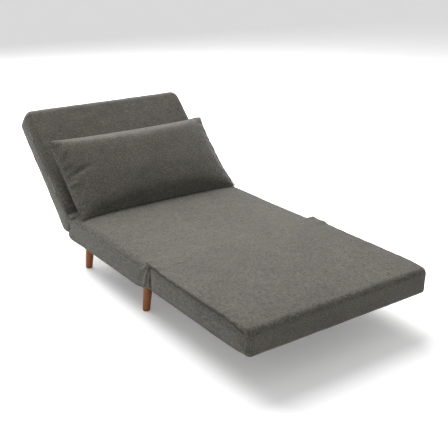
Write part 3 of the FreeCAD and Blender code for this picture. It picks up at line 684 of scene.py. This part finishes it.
def shape_underside(spots, fold):
    """The cover hangs a little along both sides, and is drawn up where the dust cover closes it."""
    low = 1 - smoothstep(UNDER, UNDER + 70 * MM, spots[:, 2])
    behind_fold = smoothstep(6 * MM, 110 * MM, spots[:, 1] - fold)
    spots[:, 2] -= HANG * low * behind_fold * near_side(spots, 24 * MM)
    to_ends = np.minimum(lining_high.y - spots[:, 1], spots[:, 1] - lining_low.y)
    inward = np.minimum(lining_high.x - np.abs(spots[:, 0]), to_ends)
    beneath = smoothstep(2 * MM, 9 * MM, inward) * (spots[:, 2] < UNDER + 15 * MM)
    spots[:, 2] += RECESS * beneath


def shape_low_edges(spots, fold, rear):
    """Round the lower corner at the fold, at the sides, and swell the rear lower edge.

    round_corner works towards growing values above zero, so it gets 1 m - y, and -z.
    """
    ahead, drop = round_corner(1 - spots[:, 1], -spots[:, 2], 1 - fold, -UNDER, LOW_CORNER)
    at_side = smoothstep(HALF - 9 * MM, HALF - 1 * MM, np.abs(spots[:, 0]))
    spots[:, 1] += at_side * (1 - ahead - spots[:, 1])
    spots[:, 2] += at_side * (-drop - spots[:, 2])
    low = 1 - smoothstep(UNDER, UNDER + 60 * MM, spots[:, 2])
    low_rear = bell(spots[:, 1] - rear, 50 * MM) * low
    spots[:, 1] += REAR_BULGE * low_rear
    spots[:, 2] -= REAR_DROP * low_rear


def make_room_for_pivot(spots):
    """Push the seat's rear out of the backrest's way, to a round hollow about the pivot."""
    from_pivot = spots[:, 1:] - np.array(PIVOT)[1:]
    away = np.linalg.norm(from_pivot, axis=1)
    spots[:, 1:] += from_pivot * (np.maximum(GROOVE / away, 1) - 1)[:, None]


seat_cushion = make_seat()
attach(seat_cushion, "base")
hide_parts("seat_cover", "seat_foam")

# ------------------------------------------------------------------ cloth over the two joints

FOLD_REACH = 42 * MM        # how far the cloth reaches to each side of the fold
FOLD_POINTS, FOLD_PLACES = 41, 150          # points over the fold, and places along it
FOLD_DEPTH, FOLD_THICK = 0.7 * MM, 1.3 * MM     # its lower face below the tops, and its thickness


def make_fold_cloth():
    """The cover runs on over the hinge knuckles, from the seat to the front section."""
    places = np.linspace(FOLD.y - FOLD_REACH, FOLD.y + FOLD_REACH, FOLD_POINTS)
    path = np.column_stack([places, np.full(FOLD_POINTS, TOP - FOLD_DEPTH)])

    def wave(spots):
        low = smoothstep(25 * MM, FOLD_REACH, from_fold(spots))
        return to_fold(spots) + fold_swell(spots) - 3.2 * MM * low * near_side(spots, 50 * MM)

    made = slab_strip("fold_cloth", path, FOLD_THICK, WIDE - 4 * MM, FOLD_PLACES, wave)
    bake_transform(made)


def on_back(s, t):
    """A (y, z) point of the backrest's frame: s up along it and t out of its front face."""
    spot = PIVOT + UP * s + OUT * t
    return spot.y, spot.z


def curve_through(anchors, steps):
    """A smooth path through anchor points (Catmull-Rom), with steps - 1 points to each stretch."""
    path = []
    for n in range(len(anchors) - 1):
        p0, p1, p2, p3 = (np.array(anchors[min(max(n + k, 0), len(anchors) - 1)]) for k in (-1, 0, 1, 2))
        for t in np.linspace(0, 1, steps)[:-1]:
            path.append(0.5 * (2 * p1 + (p2 - p0) * t + (2 * p0 - 5 * p1 + 4 * p2 - p3) * t ** 2
                               + (3 * p1 - p0 - 3 * p2 + p3) * t ** 3))
    return np.array(path + [np.array(anchors[-1])])


JOINT_POINTS, JOINT_PLACES = 70, 150        # points round the cloth's section, places along it
END_PLACES = np.array([0, 0.6, 2, 4.5, 8]) * MM     # more places in each rounded end
END_ROUND, END_SHRINK = 8 * MM, 0.22        # length of that end, and how much thinner it gets


def joint_section(rear):
    """The cloth's section in (y, z): an upper face that dips, and padding down to the pivots."""
    upper = curve_through([(rear - 40 * MM, TOP - 1.5 * MM), (rear - 14 * MM, TOP - 0.5 * MM),
                           (rear + 4 * MM, TOP - 6 * MM), (rear + 12 * MM, TOP - 9 * MM),
                           on_back(14 * MM, BACK_HALF + 1.0 * MM), on_back(36 * MM, BACK_HALF + 1.6 * MM),
                           on_back(62 * MM, BACK_HALF - 1.5 * MM)], 7)
    lower = curve_through([on_back(40 * MM, BACK_HALF - 5 * MM), on_back(0, BACK_HALF - 5 * MM),
                           on_back(-24 * MM, BACK_HALF - 10 * MM), (rear + 3 * MM, PIVOT.z + 10 * MM),
                           (rear - 8 * MM, PIVOT.z + 12 * MM), (rear - 12 * MM, TOP - 16 * MM),
                           (rear - 30 * MM, TOP - 8 * MM)], 5)
    return evenly(np.concatenate([upper, lower, upper[:1]]), JOINT_POINTS + 1)[:-1]


def joint_shape(spots, rear):
    """Lumps along the valley, the seat's sag at the sides and pleats at the two ends."""
    valley = bell(spots[:, 1] - (rear + 10 * MM), 18 * MM)
    valley *= smoothstep(TOP - 22 * MM, TOP - 12 * MM, spots[:, 2])
    spots[:, 2] += valley * 3.0 * MM * lumps(spots * [1, 0.3, 0.3], 40 * MM, 41)
    seatward = 1 - smoothstep(rear - 5 * MM, rear + 25 * MM, spots[:, 1])
    spots[:, 2] -= 6.5 * MM * near_side(spots, SAG_WIDTH) * seatward
    at_side = near_side(spots, 12 * MM)
    pleat = np.cos(np.arctan2(spots[:, 2] - PIVOT.z, spots[:, 1] - PIVOT.y) * 26)
    spots[:, 0] += np.sign(spots[:, 0]) * at_side * 1.6 * MM * pleat


def make_joint_cloth():
    """The cover dips between the seat and the backrest, with loose padding down to the pivots."""
    rear = seat_high.y
    loop = joint_section(rear)
    half = WIDE - 1.5 * MM
    centre = loop.mean(0)
    inner = half - 14 * MM
    places = np.concatenate([END_PLACES - half, np.linspace(-inner, inner, JOINT_PLACES),
                             half - END_PLACES[::-1]])
    points = []
    for x in places:
        inward = np.clip(1 - (half - abs(x)) / END_ROUND, 0, 1)
        shrink = 1 - END_SHRINK * (1 - math.sqrt(1 - inward ** 2))
        points += [(x, *(centre + (spot - centre) * shrink)) for spot in loop]
    made = make_object("joint_cloth", points, closed_skin(len(places), len(loop)), fabric)
    spots = positions(made)
    joint_shape(spots, rear)
    move_to(made, spots)
    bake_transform(made)


make_fold_cloth()
make_joint_cloth()

# ------------------------------------------------------------------ backrest

BACK_RADII = (BACK_HALF, 26 * MM, 36 * MM, BACK_HALF)   # low rear, top rear, top front, low front
BACK_CORNER = 44 * MM       # rounding of its two upper corners, seen from the front
BACK_CROWN = 2 * MM         # swell of its two sides
BACK_COLUMNS = 116


def make_back():
    s_low, s_high = -BACK_HALF, BACK_END + 2.6 * PLUMP
    corners = [(s_low, -BACK_HALF), (s_high, -BACK_HALF), (s_high, BACK_HALF), (s_low, BACK_HALF)]

    def side_round(loop):
        upper = smoothstep(-BACK_HALF, BACK_HALF, loop[:, 1])
        at_pivot = bell(loop[:, 0], 60 * MM)
        return (16 + 16 * upper) * (1 - 0.5 * at_pivot) * MM

    made, _ = upholstered("back_cushion", corners, BACK_RADII, BACK_COLUMNS, SIDE_ROWS,
                          side_round, BACK_CROWN, WIDE)
    spots = positions(made)
    spots[:, 0], spots[:, 1] = round_corner(spots[:, 0], spots[:, 1], WIDE, s_high, BACK_CORNER)
    face = smoothstep(10 * MM, 45 * MM, np.abs(spots[:, 2]))
    free = smoothstep(40 * MM, 160 * MM, spots[:, 1])
    middle = (1 - near_side(spots, 120 * MM)) * (1 - bell(spots[:, 1] - s_high, 120 * MM))
    spots[:, 2] *= 1 + face * free * (0.03 + 0.05 * middle)
    move_to(made, to_world(*spots.T))
    surface_life(made, 51, 1.2)
    return made


back_cushion = make_back()
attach(back_cushion, "back_section")
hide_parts("back_cover", "back_foam")

# ------------------------------------------------------------------ pillow

PILLOW_CORNER = (388 * MM, 198 * MM)            # its corners, from the middle
PILLOW_BOW = (6 * MM, 7 * MM, 6 * MM, 2 * MM)   # how far its edges draw in: low, high, left, right
PILLOW_THICK = 63 * MM                          # half its thickness in the middle
PILLOW_GRID = (101, 53)                         # columns and rows of the cloth's mesh
PILLOW_UP, PILLOW_OUT = 122 * MM, 117 * MM      # its middle: up from the pivot, out of the backrest
PILLOW_SWELL = 6 * MM                           # furthest that the filling may push the cloth
PILLOW_FRAMES = 18                              # frames of that simulation
FOOT_FORWARD = 11 * MM      # its lower edge leans this far out of the backrest
EAR_HIGH, EAR_LOW = 20 * MM, 8 * MM             # how far its upper and lower corners stick out
CREASE = 9 * MM             # depth of the one fold at its left end
PILLOW_CLEAR = 4.5 * MM     # its rear face lies this far out from BACK_HALF
PILLOW_WELT = 1.5 * MM      # radius of its seam


def sewn_cover():
    """Two faces of cloth sewn together round their edge, close to their filled shape."""
    columns, rows = PILLOW_GRID
    number, points, faces, cells = {}, [], [], []
    for side in (1, -1):
        for r, v in enumerate(np.linspace(-1, 1, rows)):
            for c, u in enumerate(np.linspace(-1, 1, columns)):
                rim = r in (0, rows - 1) or c in (0, columns - 1)
                if rim and side < 0:
                    number[side, r, c] = number[1, r, c]
                    continue
                number[side, r, c] = len(points)
                low = -PILLOW_CORNER[1] + PILLOW_BOW[0] * (1 - u * u)
                high = PILLOW_CORNER[1] - PILLOW_BOW[1] * (1 - u * u)
                reach = PILLOW_CORNER[0] - PILLOW_BOW[2 if u < 0 else 3] * (1 - v * v)
                profile = (1 - abs(v) ** 2.2) ** 0.8 if v < 0 else (1 - v ** 6) ** 0.55
                lift = side * PILLOW_THICK * (1 - abs(u) ** 4.5) ** 0.55 * profile
                points.append((u * reach, low + (v + 1) / 2 * (high - low), lift))
                cells.append((u, v))
        for r in range(rows - 1):
            for c in range(columns - 1):
                quad = [number[side, r, c], number[side, r, c + 1],
                        number[side, r + 1, c + 1], number[side, r + 1, c]]
                faces.append(quad if side > 0 else quad[::-1])
    return make_object("pillow", points, faces, fabric), number, np.array(cells)


def fill_by_simulation(thing, cells):
    """Swell the sewn cover with the Cloth solver, no further than PILLOW_SWELL, its seam held."""
    before = positions(thing)
    cloth = thing.modifiers.new("filling", "CLOTH")
    cloth.settings.quality = 6
    cloth.settings.mass = 0.3
    cloth.settings.tension_stiffness = 25
    cloth.settings.compression_stiffness = 10
    cloth.settings.shear_stiffness = 8
    cloth.settings.bending_stiffness = 8
    cloth.settings.use_pressure = True
    cloth.settings.uniform_pressure_force = 4
    cloth.settings.effector_weights.gravity = 0
    cloth.point_cache.frame_start, cloth.point_cache.frame_end = 1, PILLOW_FRAMES
    for moment in range(1, PILLOW_FRAMES + 1):
        bpy.context.scene.frame_set(moment)
    settle(thing)
    bpy.context.scene.frame_set(1)
    moved = positions(thing) - before
    length = np.maximum(np.linalg.norm(moved, axis=1), 1e-9)
    held = smoothstep(0, 24 * MM, from_rim(cells).min(1)) * np.minimum(1, PILLOW_SWELL / length)
    move_to(thing, before + moved * held[:, None])


def from_rim(cells):
    """How far in from the two ends, and from the two long edges, each point of the cover lies."""
    return (1 - np.abs(cells)) * np.array(PILLOW_CORNER)


def puckers(spots, cells):
    """Short ripples that run in from the seam, strongest along the two ends."""
    inward = from_rim(cells)
    at_end = inward[:, 0] < inward[:, 1]
    along = np.where(at_end, spots[:, 1], spots[:, 0])
    strength = np.where(at_end, 5.0, 1.8) * MM
    wave = np.sin(along / (8 * MM) + 6.0 * lumps(spots, 70 * MM, 61))
    wave *= 0.5 + 0.9 * lumps(spots, 60 * MM, 62)
    return strength * wave * bell(inward.min(1) - 19 * MM, 17 * MM)


def make_pillow():
    made, number, cells = sewn_cover()
    fill_by_simulation(made, cells)
    spots = positions(made)
    side, rise = cells[:, 0], cells[:, 1]
    front = spots[:, 2] > 0
    spots[:, 2] += np.where(front, 1, -1) * puckers(spots, cells)
    spots[:, 2] += FOOT_FORWARD * smoothstep(0.3, 1, -rise)
    ears = np.abs(side) ** 5 * np.abs(rise) ** 4
    spots[:, 2] += ears * np.where(rise > 0, EAR_HIGH, EAR_LOW)
    crease = bell(rise - 0.02 - 0.35 * (side + 1), 0.045) * smoothstep(-0.62, -0.9, side)
    spots[:, 2] -= np.where(front, CREASE * crease, 0)
    out = rest_on(spots[:, 2] + PILLOW_OUT, BACK_HALF + PILLOW_CLEAR, 10 * MM)
    world = to_world(spots[:, 0], spots[:, 1] + PILLOW_UP, out)
    ledge = TOP + 1.0 * MM - SIDE_SAG * near_side(world, SAG_WIDTH)
    over_seat = world[:, 1] < seat_high.y + 10 * MM
    world[:, 2] = np.where(over_seat, rest_on(world[:, 2], ledge, 4 * MM), world[:, 2])
    move_to(made, world)
    rim = [number[1, r, c] for r, c in border_cells(*PILLOW_GRID)]
    welt = tube("pillow_seam", positions(made)[rim], PILLOW_WELT, fabric)
    smooth = made.modifiers.new("smooth", "SUBSURF")
    smooth.levels = smooth.render_levels = 1
    settle(made)
    return made, welt


pillow, pillow_seam = make_pillow()
for piece in (pillow, pillow_seam):
    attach(piece, "pillow")
    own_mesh(piece)
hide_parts("pillow_cover", "pillow_filling", "pillow_zip")

# ------------------------------------------------------------------ camera, lights and floor

CAMERA_AZIMUTH, CAMERA_TILT = math.radians(35.0), math.radians(22.34)
CAMERA_PLACE = Vector((-1.641, -2.429, 1.3555))
CAMERA_LENS, CAMERA_SHIFT = 61.9, (0.0281, 0.0339)
LIGHT_PLACE, LIGHT_TARGET = Vector((0.35, 2.6, 3.5)), Vector((0, 0, 0.3))
LIGHT_SIZE, LIGHT_WATTS = 5.5, 480
WORLD_STRENGTH = 0.55
FLOOR_SIZE, FLOOR_GLOW = 60, 0.2
WHITE = (1, 1, 1, 1)


def make_camera():
    data = bpy.data.cameras.new("camera")
    made = bpy.data.objects.new("camera", data)
    bpy.context.scene.collection.objects.link(made)
    ahead = Vector((math.sin(CAMERA_AZIMUTH) * math.cos(CAMERA_TILT),
                    math.cos(CAMERA_AZIMUTH) * math.cos(CAMERA_TILT), -math.sin(CAMERA_TILT)))
    made.location = CAMERA_PLACE
    made.rotation_euler = ahead.to_track_quat("-Z", "Y").to_euler()
    data.sensor_width = 36
    data.lens = CAMERA_LENS
    data.shift_x, data.shift_y = CAMERA_SHIFT
    data.clip_end = 100
    bpy.context.scene.camera = made


def make_light():
    """One broad light, high behind the backrest, that faces the middle of the bed."""
    data = bpy.data.lights.new("overhead", "AREA")
    data.shape = "DISK"
    data.size = LIGHT_SIZE
    data.energy = LIGHT_WATTS
    made = bpy.data.objects.new("overhead", data)
    bpy.context.scene.collection.objects.link(made)
    made.location = LIGHT_PLACE
    made.rotation_euler = (LIGHT_TARGET - LIGHT_PLACE).to_track_quat("-Z", "Y").to_euler()


def make_stage():
    bpy.ops.mesh.primitive_plane_add(size=FLOOR_SIZE)
    floor = bpy.context.object
    floor.name = "studio_floor"
    m = Nodes("studio_floor_white")
    tone = m.ramp(m.noise(2, 2), [(0.3, grey(0.89)), (0.7, grey(0.91))])
    rough = m.ramp(m.noise(30), [(0.3, grey(0.8)), (0.7, grey(0.9))])
    pale = m.finish(tone, rough, Emission_Color=WHITE, Emission_Strength=FLOOR_GLOW)
    floor.data.materials.append(pale)
    world = bpy.data.worlds.new("studio")
    world.use_nodes = True
    background = world.node_tree.nodes["Background"]
    background.inputs["Color"].default_value = WHITE
    background.inputs["Strength"].default_value = WORLD_STRENGTH
    bpy.context.scene.world = world
    make_light()
    bpy.context.scene.view_settings.view_transform = "Standard"


make_camera()
make_stage()
